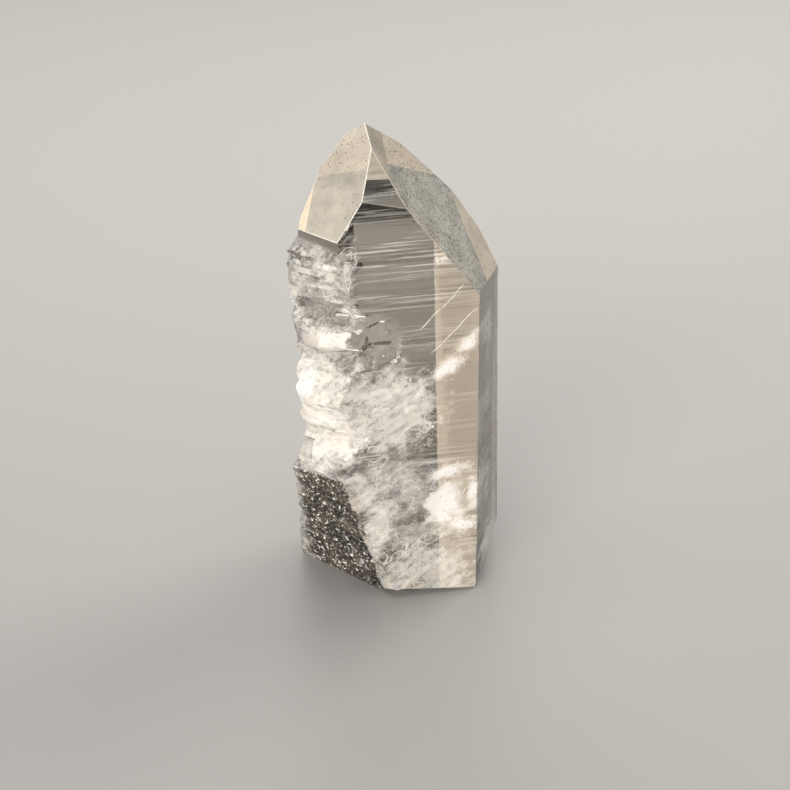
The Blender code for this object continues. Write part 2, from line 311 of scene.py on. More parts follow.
# Flat-sided pits and flakes just under the surface: centre, azimuth and slope they face, turn,
# radius, depth, number of sides and frosting.
PITS = (
    ((-8.3, -9.8, 51.9), -14.0, 84.0, 0.0, 1.5, 1.0, 4, 0.0),
    ((-12.3, -7.8, 51.3), -48.0, 80.0, 12.0, 1.3, 0.08, 4, 1.0),
    ((-13.9, -5.6, 51.6), -62.0, 70.0, 20.0, 1.7, 0.10, 3, 0.55),
    ((-13.2, -6.6, 41.0), -55.0, 62.0, 40.0, 1.7, 0.08, 3, 1.0),
    ((3.9, -10.0, 51.8), 0.0, 88.0, 45.0, 0.9, 0.05, 4, 0.5),
)

# Trails of bubbles in healed fractures: both ends, reach inward, number and radius.
TRAILS = (
    ((7.1, -10.2, 48.0), (-4.0, -9.6, 37.0), 0.5, 260, 0.035),
    ((9.0, -10.2, 44.6), (2.3, -9.8, 38.1), 0.5, 140, 0.035),
    ((1.5, -9.6, 28.0), (3.0, -9.6, 33.0), 3.0, 120, 0.06),
    ((-3.0, -9.0, 26.0), (10.0, -9.8, 22.0), 3.0, 160, 0.055),
    ((-2.0, -9.0, 14.0), (3.0, -9.4, 20.0), 3.0, 160, 0.06),
    ((-6.0, -8.0, 60.5), (-0.5, -8.0, 60.0), 1.5, 60, 0.06),
)
TRAIL_SPREAD = 0.12
BUBBLE_COVER = 0.05

# How deep a flaw's outer side lies under the surface, at least, and its inner side below that.
FLAW_COVER = 0.14
GAP_WIDTH = 0.05

# How much the faces at a crease may turn before it is drawn sharp.
SOUND_CREASE = 14.0
BROKEN_CREASE = 26.0

# What is noted for each flat face, and for each corner of the mesh, for the quartz to show.
FACE_NOTES = ("facet", "smoky", "warm", "pitted", "lined")
CORNER_NOTES = ("frost", "stain", "tone")

# Quartz: how it bends light, its faint smoke-grey depth, the gloss over white places and the tilt
# of its wisps.
REFRACTION = 1.544
STONE_TINT = (0.79, 0.768, 0.735, 1.0)
TINT_DENSITY = 148.0
COAT_ROUGHNESS = 0.04
STREAK_TILT = 32.0

# Colours of the sound stone, and the reflections painted in its zones.
CLEAR_STONE = (0.98, 0.975, 0.96, 1.0)
SATIN_STONE = (0.86, 0.86, 0.80, 1.0)
PAINTED_WARM_REFLECTION = (0.94, 0.79, 0.62, 1.0)
PAINTED_DARK_REFLECTION = (0.19, 0.19, 0.16, 1.0)
DARK_LINE = (0.30, 0.28, 0.25, 1.0)
PIT_SHADOW = (0.16, 0.14, 0.11, 1.0)

# Colours of the milky stone, the scars, and the reflection painted white over the bright
# fractures.
CREAM = (0.95, 0.93, 0.89, 1.0)
DEEP_CREAM = (0.88, 0.83, 0.75, 1.0)
BROWN_STAIN = (0.84, 0.68, 0.50, 1.0)
PAINTED_FRACTURE_REFLECTION = (1.0, 0.99, 0.97, 1.0)

# Colours of the grainy patch: a real grainy break with brown in it, painted near-black as shade
# where it faces down and away from the light.
GRAIN_PAINTED_SHADE = (0.018, 0.017, 0.015, 1.0)
GRAIN_BROWN = (0.135, 0.108, 0.078, 1.0)
GRAIN_PALE = (0.46, 0.40, 0.32, 1.0)
GRAIN_GLINT = (1.0, 0.96, 0.90, 1.0)

# The pale floor and the even light all round.
FLOOR_GREY = (0.28, 0.278, 0.275, 1.0)
FLOOR_ROUGHNESS = 0.45
FLOOR_RADIUS = 2.5
STUDIO_GREY = (0.14, 0.14, 0.14, 1.0)

# Soft lights round the stone, in metres: name, place, width and height, power and colour.
SOFT_LIGHTS = (
    ("overhead", (-0.06, -0.04, 0.50), (0.5, 0.4), 2.0, (1.0, 0.97, 0.93)),
    ("left_front", (-0.42, -0.56, 0.24), (0.4, 0.5), 6.5, (1.0, 0.95, 0.88)),
    ("right_side", (0.42, 0.20, 0.46), (0.3, 0.3), 2.3, (1.0, 0.95, 0.88)),
    ("behind", (0.15, 0.80, 0.32), (0.8, 0.3), 3.0, (1.0, 0.96, 0.90)),
)
LIT_PLACE = (0.0, 0.0, 0.03)

# The camera stands where the photograph was taken from.
VIEW_AZIMUTH = -14.0
VIEW_ELEVATION = 26.0
VIEW_DISTANCE = 271.0
VIEW_TARGET = (0.0, 0.0, 27.3)
FOCAL_PIXELS = 1900.0
PICTURE_PIXELS = 790.0
SENSOR_WIDTH = 36.0


def outward(azimuth, slope):
    """Direction that a face looks in, from its azimuth and its slope from level."""
    turn = math.radians(azimuth)
    lean = math.radians(slope)
    level = math.sin(lean)
    return Vector((math.sin(turn) * level, -math.cos(turn) * level, math.cos(lean)))


def smooth_step(low, high, value):
    """Nought at low and one at high, with an easy curve between them."""
    share = min(max((value - low) / (high - low), 0.0), 1.0)
    return share * share * (3.0 - 2.0 * share)


def azimuth_of(place):
    return math.degrees(math.atan2(place.x, -place.y))


def across(azimuth):
    """Direction that an upright plane through the axis faces, at this azimuth."""
    turn = math.radians(azimuth)
    return (math.cos(turn), math.sin(turn), 0.0)


def grain(place, size, seed):
    """Soft random unevenness of this size, from about minus one to one."""
    return noise.noise((place + Vector((seed, -seed, 2.0 * seed))) / size)


def cut_face(stone, azimuth, slope, point):
    """Cut away all that lies beyond one flat face, and close the cut."""
    cut = bmesh.ops.bisect_plane(
        stone, geom=stone.verts[:] + stone.edges[:] + stone.faces[:], dist=1e-5,
        plane_co=Vector(point), plane_no=outward(azimuth, slope), clear_outer=True)
    rim = [item for item in cut["geom_cut"] if isinstance(item, bmesh.types.BMEdge)]
    if rim:
        bmesh.ops.contextual_create(stone, geom=rim)


def crystal_point():
    """The whole crystal with flat faces, standing on a level base."""
    stone = bmesh.new()
    bmesh.ops.create_cube(stone, size=BLOCK_SIDE)
    bmesh.ops.translate(stone, verts=stone.verts, vec=(0.0, 0.0, BLOCK_SIDE / 2.0))
    for azimuth, taper, point in PRISM_FACES:
        cut_face(stone, azimuth, 90.0 - taper, point)
    for azimuth, slope, point in POINT_FACETS + FOOT_BREAKS:
        cut_face(stone, azimuth, slope, point)
    return stone


def zone_side(azimuth, slope, start, end):
    """Direction along a face, away from the zone on the left of a line."""
    return (Vector(end) - Vector(start)).cross(outward(azimuth, slope)).normalized()


def divide_zones(stone):
    """Cut lines into the flat faces where their look changes."""
    stone.normal_update()
    for azimuth, slope, start, end, _, _, _ in ZONES:
        facing = outward(azimuth, slope)
        faces = [face for face in stone.faces if face.normal.dot(facing) > 0.999]
        score(stone, faces, start, zone_side(azimuth, slope, start, end))


def wear_edges(stone):
    """Take the sharpness off the edges of the sound faces, and note the highlight painted on them.
    """
    edge_highlight_layer = stone.faces.layers.float.new("worn")
    worn = []
    for edge in stone.edges:
        middle = (edge.verts[0].co + edge.verts[1].co) / 2.0
        sound = middle.z > FLANK_TOP or not FLANK_BACK < azimuth_of(middle) < FLANK_FRONT
        if sound and middle.z > 0.5:
            worn.append(edge)
    rounded = bmesh.ops.bevel(stone, geom=worn, offset=EDGE_WEAR, offset_type="OFFSET", segments=2,
                              profile=0.5, affect="EDGES", clamp_overlap=True, material=-1)
    for face in rounded["faces"]:
        middle = face.calc_center_median()
        left_facet = middle.z > LEFT_FACET_FOOT and middle.x < LEFT_FACET_EDGE
        # Painted highlight: white along the worn edges, whitest round the left facet.
        face[edge_highlight_layer] = LEFT_FACET_HIGHLIGHT if left_facet else OTHER_EDGE_HIGHLIGHT


def score(stone, faces, point, normal):
    """Divide the given faces along a plane without removing anything."""
    edges = dict.fromkeys(edge for face in faces for edge in face.edges)
    verts = dict.fromkeys(vert for face in faces for vert in face.verts)
    bmesh.ops.bisect_plane(
        stone, geom=list(verts) + list(edges) + list(faces), dist=1e-5,
        plane_co=Vector(point), plane_no=Vector(normal))


def side_faces(stone):
    """The upright faces and the grainy foot break: all that carries fine relief."""
    return [face for face in stone.faces if -0.5 < face.normal.z < UPRIGHT]


def divide_sides(stone):
    """Give the sides a mesh of rows and columns, closer together on the flank."""
    stone.normal_update()
    height = max(vert.co.z for vert in stone.verts)
    turns = []
    turn = FLANK_BACK
    while turn < FLANK_BACK + 360.0:
        turns.append(turn)
        turn += FLANK_COLUMN if turn < FLANK_FRONT else SOUND_COLUMN
    for turn in turns:
        outer = Vector(across(turn - 90.0))
        half = [face for face in side_faces(stone)
                if face.calc_center_median().dot(Vector(across(turn + 90.0))) < 12.0
                and any(vert.co.dot(outer) < 0.0 for vert in face.verts)]
        score(stone, half, (0.0, 0.0, 0.0), across(turn))
    for row in range(1, int(height / ROW)):
        score(stone, side_faces(stone), (0.0, 0.0, row * ROW), (0.0, 0.0, 1.0))
    stone.normal_update()
    fine = dict.fromkeys(edge for face in side_faces(stone) for edge in face.edges)
    bmesh.ops.subdivide_edges(stone, edges=list(fine), cuts=FINE_CUTS, use_grid_fill=True)
    stone.normal_update()


def step_out(height):
    """How far the upright faces stand out at this height, for the growth steps."""
    out = 0.0
    for count, (ledge, amount) in enumerate(GROWTH_STEPS):
        share = smooth_step(ledge + STEP_RISE, ledge, height)
        out += amount * share if count % 2 else -amount * share
    return out


def fine_lines(place):
    """Fine growth lines: level ridges that come and go along the face."""
    level = noise.noise(Vector((3.0, 7.0, place.z * 2.4)))
    fine = noise.noise(Vector((11.0, 5.0, place.z * 5.5)))
    come = noise.noise(Vector((place.x * 0.12, place.y * 0.12, place.z * 0.5 + 20.0)))
    return FINE_STEP_DEPTH * (level + 0.6 * fine) * (0.7 + come)


def splinter_tilt(place):
    """Which way, and how far, the splinter around this place leans."""
    return Vector(noise.noise(place + Vector(shift)) for shift in SPLINTER_SHIFTS)


def chipping(place):
    """Flat splinters, each tilted its own way, with small ledges between them."""
    out = 0.0
    for size, tilt, seed in CHIPS:
        where = place / size + Vector((seed, 0.0, 0.0))
        centre = noise.voronoi(where)[1][0]
        out += tilt * size * (where - centre).dot(splinter_tilt(centre * 7.3))
    return out


def by_height(table, height):
    """Value at this height, on straight lines between the entries of a table."""
    for (low, start), (high, end) in zip(table, table[1:]):
        if low <= height <= high:
            return start + (end - start) * (height - low) / (high - low)
    return table[-1][1]


def swell(azimuth, height):
    """How far the flank stands out beyond the prism at this place."""
    offset = abs(azimuth - SWELL_AZIMUTH) / SWELL_HALF_WIDTH
    return by_height(FLANK_SWELL, height) * max(0.0, 1.0 - offset * offset)


def soft_least(first, second, width):
    """The smaller of two distances, with the crease between them a little rounded."""
    share = max(width - abs(first - second), 0.0) / width
    return min(first, second) - share * share * width / 4.0


def scar_reach(way, azimuth, height, reach):
    """The distance from the axis, reduced to the nearest scar in this direction."""
    for scar_azimuth, tilt, distance, low, high in SCARS:
        closeness = outward(scar_azimuth, 90.0).dot(way)
        if closeness < 0.3:
            continue
        shift = (azimuth - scar_azimuth) * LEDGE_LEAN
        shift += LEDGE_WANDER * noise.noise(Vector((azimuth / 13.0, low, 0.0)))
        past = max(low + shift - height, height - high - shift, 0.0)
        leaned = distance + (height - (low + high) / 2.0) * math.tan(math.radians(tilt))
        reach = soft_least(reach, leaned / closeness + past * LEDGE_RUN, SCAR_CREASE)
    return reach


def hollow_depth(place):
    """How deep the conchoidal hollows are here, with their faint rings."""
    depth = 0.0
    for centre, radius, deepest in HOLLOWS:
        away = (place - Vector(centre)).length
        if away < radius:
            ring = RIPPLE_DEPTH * math.sin(away * 2.0 * math.pi / RIPPLE_WAVE)
            depth = max(depth, deepest * (1.0 - (away / radius) ** 2) + ring)
    return depth


def plane_reach(way, height, azimuth, slope, point):
    """Distance from the axis to a flat face, level, in the direction way."""
    facing = outward(azimuth, slope)
    closeness = facing.x * way.x + facing.y * way.y
    if closeness < 0.05:
        return BLOCK_SIDE
    return (facing.dot(Vector(point)) - facing.z * height) / closeness


def foot_lump(place):
    """Height of the lumps of two sizes, and finer grain, on the crumbly foot breaks."""
    large = 0.5 - noise.voronoi(place / FOOT_CELL)[0][0]
    small = 0.5 - noise.voronoi(place / (0.45 * FOOT_CELL))[0][0]
    fine = grain(place, GRAIN_SIZE, 3.0) + 0.5 * grain(place, 0.5, 5.0)
    return 1.1 * large + 0.5 * small + fine


def patch_share(place, azimuth, height):
    """One in the dark patch on the left foot break, and nought past its ragged edges."""
    ragged = place.x - by_height(PATCH_EDGE, height) + 1.3 * grain(place, 1.5, 9.0)
    rim = azimuth - (PALE_RIM + PALE_RIM_LEAN * height) + 5.0 * grain(place, 1.0, 15.0)
    return smooth_step(0.35, -0.35, ragged) * smooth_step(0.5, 4.0, rim)


def flank_reach(way, azimuth, height):
    """Distance from the axis to the broken flank, and how scarred and how grainy it is."""
    reach = min(plane_reach(way, height, turn, 90.0 - taper, point)
                for turn, taper, point in PRISM_FACES)
    sound = reach
    reach += step_out(height) * smooth_step(-50.0, -30.0, azimuth)
    reach += swell(azimuth, height)
    reach = scar_reach(way, azimuth, height, reach)
    place = Vector((way.x * reach, way.y * reach, height))
    reach -= hollow_depth(place)
    broken = smooth_step(0.2, -1.0, place.x - by_height(FACE_EDGE, height))
    rough = SCAR_GRAIN * grain(place, GRAIN_SIZE, 7.0)
    rough += chipping(place) + 0.04 * grain(place, 0.5, 27.0)
    reach += rough * broken
    reach += fine_lines(place) * (1.0 - broken)
    scarred = max(broken, smooth_step(0.05, 0.3, sound - reach))
    glassy = (place - Vector(GLASSY_HOLLOW[0])).length / GLASSY_HOLLOW[1]
    scarred *= 0.3 + 0.7 * smooth_step(0.8, 1.05, glassy)
    grainy = 0.0
    for count, (turn, slope, point) in enumerate(FOOT_BREAKS):
        foot = plane_reach(way, height, turn, slope, point)
        if foot < reach:
            reach = foot + FOOT_GRAIN * foot_lump(place) * smooth_step(0.0, 0.6, height)
            if count == 0:
                grainy = patch_share(place, azimuth, height)
    return reach, scarred, grainy


def flank_share(azimuth, height):
    """One on the broken flank and nought on the sound faces."""
    sides = smooth_step(FLANK_FRONT, FLANK_FRONT - 10.0, azimuth)
    sides *= smooth_step(FLANK_BACK, FLANK_BACK + 18.0, azimuth)
    return sides * smooth_step(FLANK_TOP, FLANK_TOP - 1.2, height)


def shape_sides(stone):
    """Break the flank, and lay the growth lines on the sound faces."""
    scar_layer = stone.verts.layers.float.new("scar")
    grain_layer = stone.verts.layers.float.new("grain")
    moves = {}
    for vert in stone.verts:
        azimuth = azimuth_of(vert.co)
        height = vert.co.z
        share = flank_share(azimuth, height)
        level = Vector((vert.co.x, vert.co.y, 0.0))
        if share > 0.0 and level.length > 5.0:
            way = level.normalized()
            reach, scarred, grainy = flank_reach(way, azimuth, height)
            reach = level.length + share * (reach - level.length)
            moves[vert] = Vector((way.x * reach, way.y * reach, height))
            vert[scar_layer] = scarred * share
            vert[grain_layer] = grainy * share
            continue
        upright = all(abs(face.normal.z) < UPRIGHT for face in vert.link_faces)
        if upright and height > 1e-4:
            out = sum((face.normal for face in vert.link_faces), Vector())
            out = Vector((out.x, out.y, 0.0)).normalized()
            stepped = SIDE_STEPS + (1.0 - SIDE_STEPS) * smooth_step(0.5, 0.9, -out.y)
            moves[vert] = vert.co + out * (stepped * step_out(height) + fine_lines(vert.co))
    for vert, place in moves.items():
        vert.co = place


def crumpling(place, scale, seed):
    """Soft unevenness across a fracture."""
    return noise.noise(Vector((place.x * scale, place.y * scale, seed)))


def inner_fracture(gap, half_sizes, crumple, seed, frosting, stain):
    """A thin crumpled gap, level and centred, where a fracture has let air in."""
    made = bmesh.ops.create_icosphere(gap, subdivisions=5, radius=1.0)["verts"]
    half_width, half_height = half_sizes
    frost_layer = gap.verts.layers.float["frost"]
    stain_layer = gap.verts.layers.float["stain"]
    for vert in made:
        place = vert.co.copy()
        rim = 1.0 + 0.5 * crumpling(place, 1.9, seed)
        rim += 0.3 * crumpling(place, 6.0, seed + 3.0)
        rim += 0.15 * crumpling(place, 14.0, seed + 4.0)
        flat = Vector((place.x * half_width * rim, place.y * half_height * rim, 0.0))
        bend = crumple * crumpling(flat, 0.35, seed)
        bend += 0.35 * crumple * crumpling(flat, 1.4, seed + 9.0)
        bend += 0.15 * crumple * crumpling(flat, 4.0, seed + 5.0)
        vert.co = Vector((flat.x, flat.y, place.z * FRACTURE_HALF_GAP + bend))
        patch = 0.6 + 0.9 * crumpling(flat, 0.8, seed + 13.0)
        vert[frost_layer] = min(max(frosting * patch, 0.0), 1.0)
        vert[stain_layer] = stain


def flat_pit(gap, radius, depth, sides, frosting):
    """A small pit with flat sides, as an etched space under the surface."""
    made = bmesh.ops.create_cone(gap, cap_ends=True, segments=sides, radius1=radius,
                                 radius2=0.05 * radius, depth=depth)["verts"]
    frost_layer = gap.verts.layers.float["frost"]
    for vert in made:
        vert[frost_layer] = frosting


def hollow_out(gap):
    """Turn a closed shape inside out, so that it is a space in the crystal."""
    bmesh.ops.recalc_face_normals(gap, faces=gap.faces)
    bmesh.ops.reverse_faces(gap, faces=gap.faces)


def put_inside(gap, tree, centre, facing, turn):
    """Set a gap in its place, and draw in what would come through the surface."""
    outer = {vert for vert in gap.verts if vert.co.z > 0.0}
    lean = facing.to_track_quat("Z", "Y").to_matrix().to_4x4()
    spin = Matrix.Rotation(math.radians(turn), 4, "Z")
    bmesh.ops.transform(gap, verts=gap.verts,
                        matrix=Matrix.Translation(Vector(centre)) @ lean @ spin)
    for vert in gap.verts:
        skin, normal, _, _ = tree.find_nearest(vert.co)
        cover = FLAW_COVER if vert in outer else FLAW_COVER + GAP_WIDTH
        if (vert.co - skin).dot(normal) > -cover:
            vert.co = skin - normal * cover


def bubble_trail(trail, tree, start, end, inward, count, size, seed):
    """Tiny bubbles scattered along a healed fracture between two points."""
    draw = random.Random(seed)
    start, end = Vector(start), Vector(end)
    for _ in range(count):
        place = start.lerp(end, draw.random())
        place += Vector((draw.gauss(0.0, TRAIL_SPREAD), draw.uniform(0.0, inward),
                         draw.gauss(0.0, TRAIL_SPREAD)))
        radius = size * draw.uniform(0.5, 1.6)
        skin, normal, _, _ = tree.find_nearest(place)
        if (place - skin).dot(normal) < -radius - BUBBLE_COVER:
            bmesh.ops.create_icosphere(
                trail, subdivisions=1, radius=radius, matrix=Matrix.Translation(place))
    frost_layer = trail.verts.layers.float["frost"]
    for vert in trail.verts:
        vert[frost_layer] = 1.0


def join_in(stone, part):
    """Add a part's mesh to the stone's own."""
    mesh = bpy.data.meshes.new("flaws")
    part.to_mesh(mesh)
    part.free()
    stone.from_mesh(mesh)
    bpy.data.meshes.remove(mesh)


def new_gap():
    """An empty mesh for a flaw, with room to note its frosting and stain."""
    gap = bmesh.new()
    gap.verts.layers.float.new("frost")
    gap.verts.layers.float.new("stain")
    return gap


def add_flaws(stone):
    """The bright fractures, etched pits and bubble trails inside the crystal."""
    tree = BVHTree.FromBMesh(stone)
    flaws = []
    for centre, azimuth, slope, turn, half_sizes, crumple, frosting, stain in FRACTURES:
        gap = new_gap()
        inner_fracture(gap, half_sizes, crumple, 1.0 + centre[0] + centre[2], frosting, stain)
        put_inside(gap, tree, centre, outward(azimuth, slope), turn)
        flaws.append(gap)
    for centre, azimuth, slope, turn, radius, depth, sides, frosting in PITS:
        gap = new_gap()
        flat_pit(gap, radius, depth, sides, frosting)
        put_inside(gap, tree, centre, outward(azimuth, slope), turn)
        flaws.append(gap)
    for seed, (start, end, inward, count, size) in enumerate(TRAILS):
        trail = new_gap()
        bubble_trail(trail, tree, start, end, inward, count, size, seed)
        flaws.append(trail)
    for gap in flaws:
        hollow_out(gap)
        join_in(stone, gap)


def cloud_at(place):
    """How milky the crystal is at a place on its surface."""
    milky = 0.0
    fray = CLOUD_FRAY * (grain(place, 1.5, 43.0) + 0.6 * grain(place, 0.6, 47.0))
    for centre, radii, tilt, strength in CLOUDS:
        away = Vector(centre) - place
        lean = math.radians(tilt)
        along = away.x * math.cos(lean) + away.z * math.sin(lean)
        up = away.z * math.cos(lean) - away.x * math.sin(lean)
        far = Vector((along / radii[0], away.y / radii[1], up / radii[2])).length + fray
        inner = 0.0 if strength > PAINTED_REFLECTION_LEVEL else 0.55
        milky = max(milky, strength * smooth_step(1.15, inner, far))
    return milky


def within(corners, across_at, height):
    """Whether a place seen from the front lies in a flat shape with these corners."""
    for (x, z), (next_x, next_z) in zip(corners, corners[1:] + corners[:1]):
        if (next_x - x) * (height - z) - (next_z - z) * (across_at - x) > 0.0:
            return False
    return True


def flank_tone(place):
    """How pale or clear the broken flank is here."""
    if place.y > 0.0 or place.x > FACETS_RIGHT_END:
        return 0.0
    for tone, corners in FLANK_FACETS:
        if within(corners, place.x, place.z):
            return tone
    return 0.0


def mark_facet(face, middle, layers):
    """Note how satin, lined and pitted a face is, and how strong the dark and warm reflections
    painted on it are.
    """
    face[layers["lined"]] = 1.0 if face.normal.y < -0.8 else SIDE_LINES
    on_tip = (middle.z > FACETS_FOOT and face.normal.z > FACET_LEAN
              and flank_share(azimuth_of(middle), middle.z) == 0.0)
    if on_tip:
        frontal = abs(face.normal.x) < 0.2 and face.normal.y < 0.0
        face[layers["facet"]] = FRONT_SATIN if frontal else 1.0
        rightward = face.normal.x > 0.5 and face.normal.y < -0.2
        face[layers["pitted"]] = RIGHT_FACET_PITS if rightward else OTHER_FACET_PITS
    # Where a far face shows through, the zone gets a painted dark reflection and a painted warm
    # reflection.
    for azimuth, slope, start, end, smoky, warm, pitted in ZONES:
        facing = outward(azimuth, slope)
        away = middle - Vector(start)
        inside = away.dot(zone_side(azimuth, slope, start, end)) < 0.0
        upright = slope > 80.0
        match = STEPPED_ZONE_MATCH if upright else SMOOTH_ZONE_MATCH
        near = abs(away.dot(facing)) < ZONE_REACH and face.normal.dot(facing) > match
        if inside and near and (upright or on_tip):
            face[layers["smoky"]] = smoky
            face[layers["warm"]] = warm
            face[layers["pitted"]] = pitted


def frost_at(place, tone):
    """How frosted the surface is here, given how pale or clear its facet of the flank is."""
    milky = cloud_at(place)
    if milky > 0.0:
        milky += 0.22 * grain(place, 3.0, 31.0) + 0.18 * grain(place, 1.1, 37.0)
    milky = max(milky, PALE_FACET_FROST * tone) if tone >= 0.0 else CLEAR_FACET_FROST * milky
    return min(max(milky, 0.0), MOST_FROST)


def stain_at(place):
    """How brown the stone is here: beside the dark patch, and in spots near its foot."""
    rim = abs(place.x - by_height(PATCH_EDGE, place.z) + 0.2)
    low = smooth_step(7.0, 2.0, place.z) * (0.3 + 0.9 * grain(place, 1.4, 53.0))
    on_foot = smooth_step(1.6, 0.4, rim) if place.z < STAIN_TOP and place.y < 0.0 else 0.0
    return min(max(0.8 * on_foot, low, 0.0), 1.0)


def mark_zones(stone):
    """Note on every face and corner what the quartz shows there."""
    layers = {name: stone.faces.layers.float.new(name) for name in FACE_NOTES}
    frost_layer, stain_layer, tone_layer = (
        stone.verts.layers.float.new(name) for name in CORNER_NOTES)
    stone.normal_update()
    for face in stone.faces:
        mark_facet(face, face.calc_center_median(), layers)
    for vert in stone.verts:
        tone = flank_tone(vert.co)
        vert[frost_layer] = frost_at(vert.co, tone)
        vert[tone_layer] = tone
        vert[stain_layer] = stain_at(vert.co)


def crisp_edges(stone):
    """Mark the creases that stay sharp in the shading."""
    for face in stone.faces:
        face.smooth = True
    for edge in stone.edges:
        if len(edge.link_faces) != 2:
            continue
        middle = (edge.verts[0].co + edge.verts[1].co) / 2.0
        broken = FLANK_BACK < azimuth_of(middle) < FLANK_FRONT - 20.0 and middle.z < FLANK_TOP
        limit = math.radians(BROKEN_CREASE if broken else SOUND_CREASE)
        edge.smooth = edge.calc_face_angle(0.0) < limit


def new_object(name, data):
    made = bpy.data.objects.new(name, data)
    bpy.context.scene.collection.objects.link(made)
    return made


def mesh_object(name, shape, material):
    """A piece of the scene, from a working mesh that is used up."""
    mesh = bpy.data.meshes.new(name)
    shape.to_mesh(mesh)
    shape.free()
    mesh.materials.append(material)
    return new_object(name, mesh)


def make_tower(material):
    """The finished crystal, as one mesh in the frame's own place and size."""
    stone = crystal_point()
    wear_edges(stone)
    divide_sides(stone)
    divide_zones(stone)
    shape_sides(stone)
    bmesh.ops.dissolve_degenerate(stone, edges=stone.edges, dist=0.003)
    bmesh.ops.recalc_face_normals(stone, faces=stone.faces)
    mark_zones(stone)
    crisp_edges(stone)
    add_flaws(stone)
    bmesh.ops.translate(stone, verts=stone.verts, vec=(-STAND_CENTRE[0], -STAND_CENTRE[1], 0.0))
    bmesh.ops.scale(stone, verts=stone.verts, vec=(MM, MM, MM))
    return mesh_object("quartz_crystal", stone, material)


class Nodes:
    """Short ways to add and join shader nodes."""

    def __init__(self, material):
        material.use_nodes = True
        self.tree = material.node_tree

    def add(self, kind, settings=None, **values):
        node = self.tree.nodes.new(kind)
        for name, value in (settings or {}).items():
            setattr(node, name, value)
        for name, value in values.items():
            self.put(node.inputs[name.replace("_", " ")], value)
        return node

    def put(self, socket, value):
        if isinstance(value, bpy.types.NodeSocket):
            self.tree.links.new(value, socket)
        else:
            socket.default_value = value

    def sum(self, kind, first, second, clamp=False):
        node = self.tree.nodes.new("ShaderNodeMath")
        node.operation = kind
        node.use_clamp = clamp
        self.put(node.inputs[0], first)
        self.put(node.inputs[1], second)
        return node.outputs[0]

    def chain(self, kind, values):
        total = values[0]
        for value in values[1:]:
            total = self.sum(kind, total, value)
        return total

    def plus(self, *values):
        return self.chain("ADD", values)

    def times(self, *values):
        return self.chain("MULTIPLY", values)

    def most(self, *values):
        return self.chain("MAXIMUM", values)

    def less(self, first, second, clamp=False):
        return self.sum("SUBTRACT", first, second, clamp)

    def size(self, value):
        """The value without its sign."""
        return self.sum("ABSOLUTE", value, 0.0)

    def blend(self, share, first, second):
        node = self.tree.nodes.new("ShaderNodeMix")
        node.data_type = "RGBA"
        self.put(node.inputs[0], share)
        self.put(node.inputs[6], first)
        self.put(node.inputs[7], second)
        return node.outputs[2]

    def range(self, value, low, high, start=0.0, end=1.0):
        """From start to end, as the value goes from low to high."""
        node = self.tree.nodes.new("ShaderNodeMapRange")
        self.put(node.inputs[0], value)
        for count, number in enumerate((low, high, start, end), 1):
            self.put(node.inputs[count], number)
        return node.outputs[0]

    def noise(self, where, scale, detail=3.0, rough=0.55):
        node = self.add("ShaderNodeTexNoise", Scale=scale, Detail=detail, Roughness=rough,
                        Vector=where)
        return node.outputs[0]

    def layer(self, name):
        return self.add("ShaderNodeAttribute", {"attribute_name": name}).outputs["Fac"]

    def drawn(self, where, tilt, stretch):
        """Coordinates drawn out along a line that tilts up to the right."""
        node = self.add("ShaderNodeMapping", {"vector_type": "TEXTURE"}, Vector=where)
        node.inputs["Rotation"].default_value = (0.0, math.radians(-tilt), 0.0)
        node.inputs["Scale"].default_value = stretch
        return node.outputs[0]

    def hairline(self, value, width):
        """Bright where the value crosses a half: long thin wandering lines."""
        return self.range(self.size(self.less(value, 0.5)), 0.0, width, 1.0, 0.0)


class Look:
    """The notes on the stone's surface, and the patterns that several of its looks share."""

    def __init__(self, nodes):
        self.where = nodes.add("ShaderNodeTexCoord").outputs["Object"]
        for name in FACE_NOTES + CORNER_NOTES + ("scar", "grain", "worn"):
            setattr(self, name, nodes.layer(name))
        self.streaky = nodes.drawn(self.where, STREAK_TILT, (2.6, 1.0, 0.8))
        self.texture = nodes.noise(self.streaky, 950.0, 4.0, 0.75)
        self.broad = nodes.noise(self.where, 290.0, 2.0)
        self.crumbs = nodes.noise(self.where, 1900.0, 4.0, 0.75)
        self.cells = nodes.add("ShaderNodeTexVoronoi", Scale=2300.0, Vector=self.where)
        rough_parts = nodes.most(self.facet, self.scar, self.grain)
        self.smooth = nodes.times(nodes.less(1.0, rough_parts, True), self.lined)
        self.pale_lines, self.dark_lines = growth_lines(nodes, self)
        self.specks = speck_pattern(nodes, self)
        self.white = white_marks(nodes, self)


def growth_lines(nodes, look):
    """Level lines of growth, pale and dark, in bands that come and go along the face."""
    level = nodes.add("ShaderNodeMapping", Vector=look.where)
    level.inputs["Scale"].default_value = (0.02, 0.02, 1.0)
    fine = nodes.noise(level.outputs[0], 3300.0, 3.0, 0.75)
    broken = nodes.noise(nodes.drawn(look.where, 0.0, (5.0, 5.0, 1.0)), 300.0, 1.0)
    bands = nodes.range(broken, 0.40, 0.60)
    pale = nodes.times(nodes.range(fine, 0.50, 0.62), bands, look.smooth)
    dark = nodes.times(nodes.range(fine, 0.46, 0.36), bands, look.smooth)
    return pale, dark


def speck_pattern(nodes, look):
    """Small etched pits of many sizes, on the facets and in the painted warm reflections of far
    faces.
    """
    finer = nodes.add("ShaderNodeTexVoronoi", Scale=3600.0, Vector=look.where)
    specks = []
    for pattern, largest in ((look.cells, 0.26), (finer, 0.40)):
        chance = nodes.add("ShaderNodeSeparateColor", Color=pattern.outputs["Color"]).outputs[1]
        rare = nodes.range(look.pitted, 0.0, 1.0, 0.75, 0.12)
        size = nodes.times(nodes.range(chance, rare, 1.0, 0.0, largest),
                           nodes.range(look.pitted, 0.95, 1.0, 1.0, 1.45))
        specks.append(nodes.range(nodes.less(size, pattern.outputs["Distance"]), 0.0, 0.06))
    return nodes.times(nodes.most(*specks), nodes.most(look.facet, look.warm))


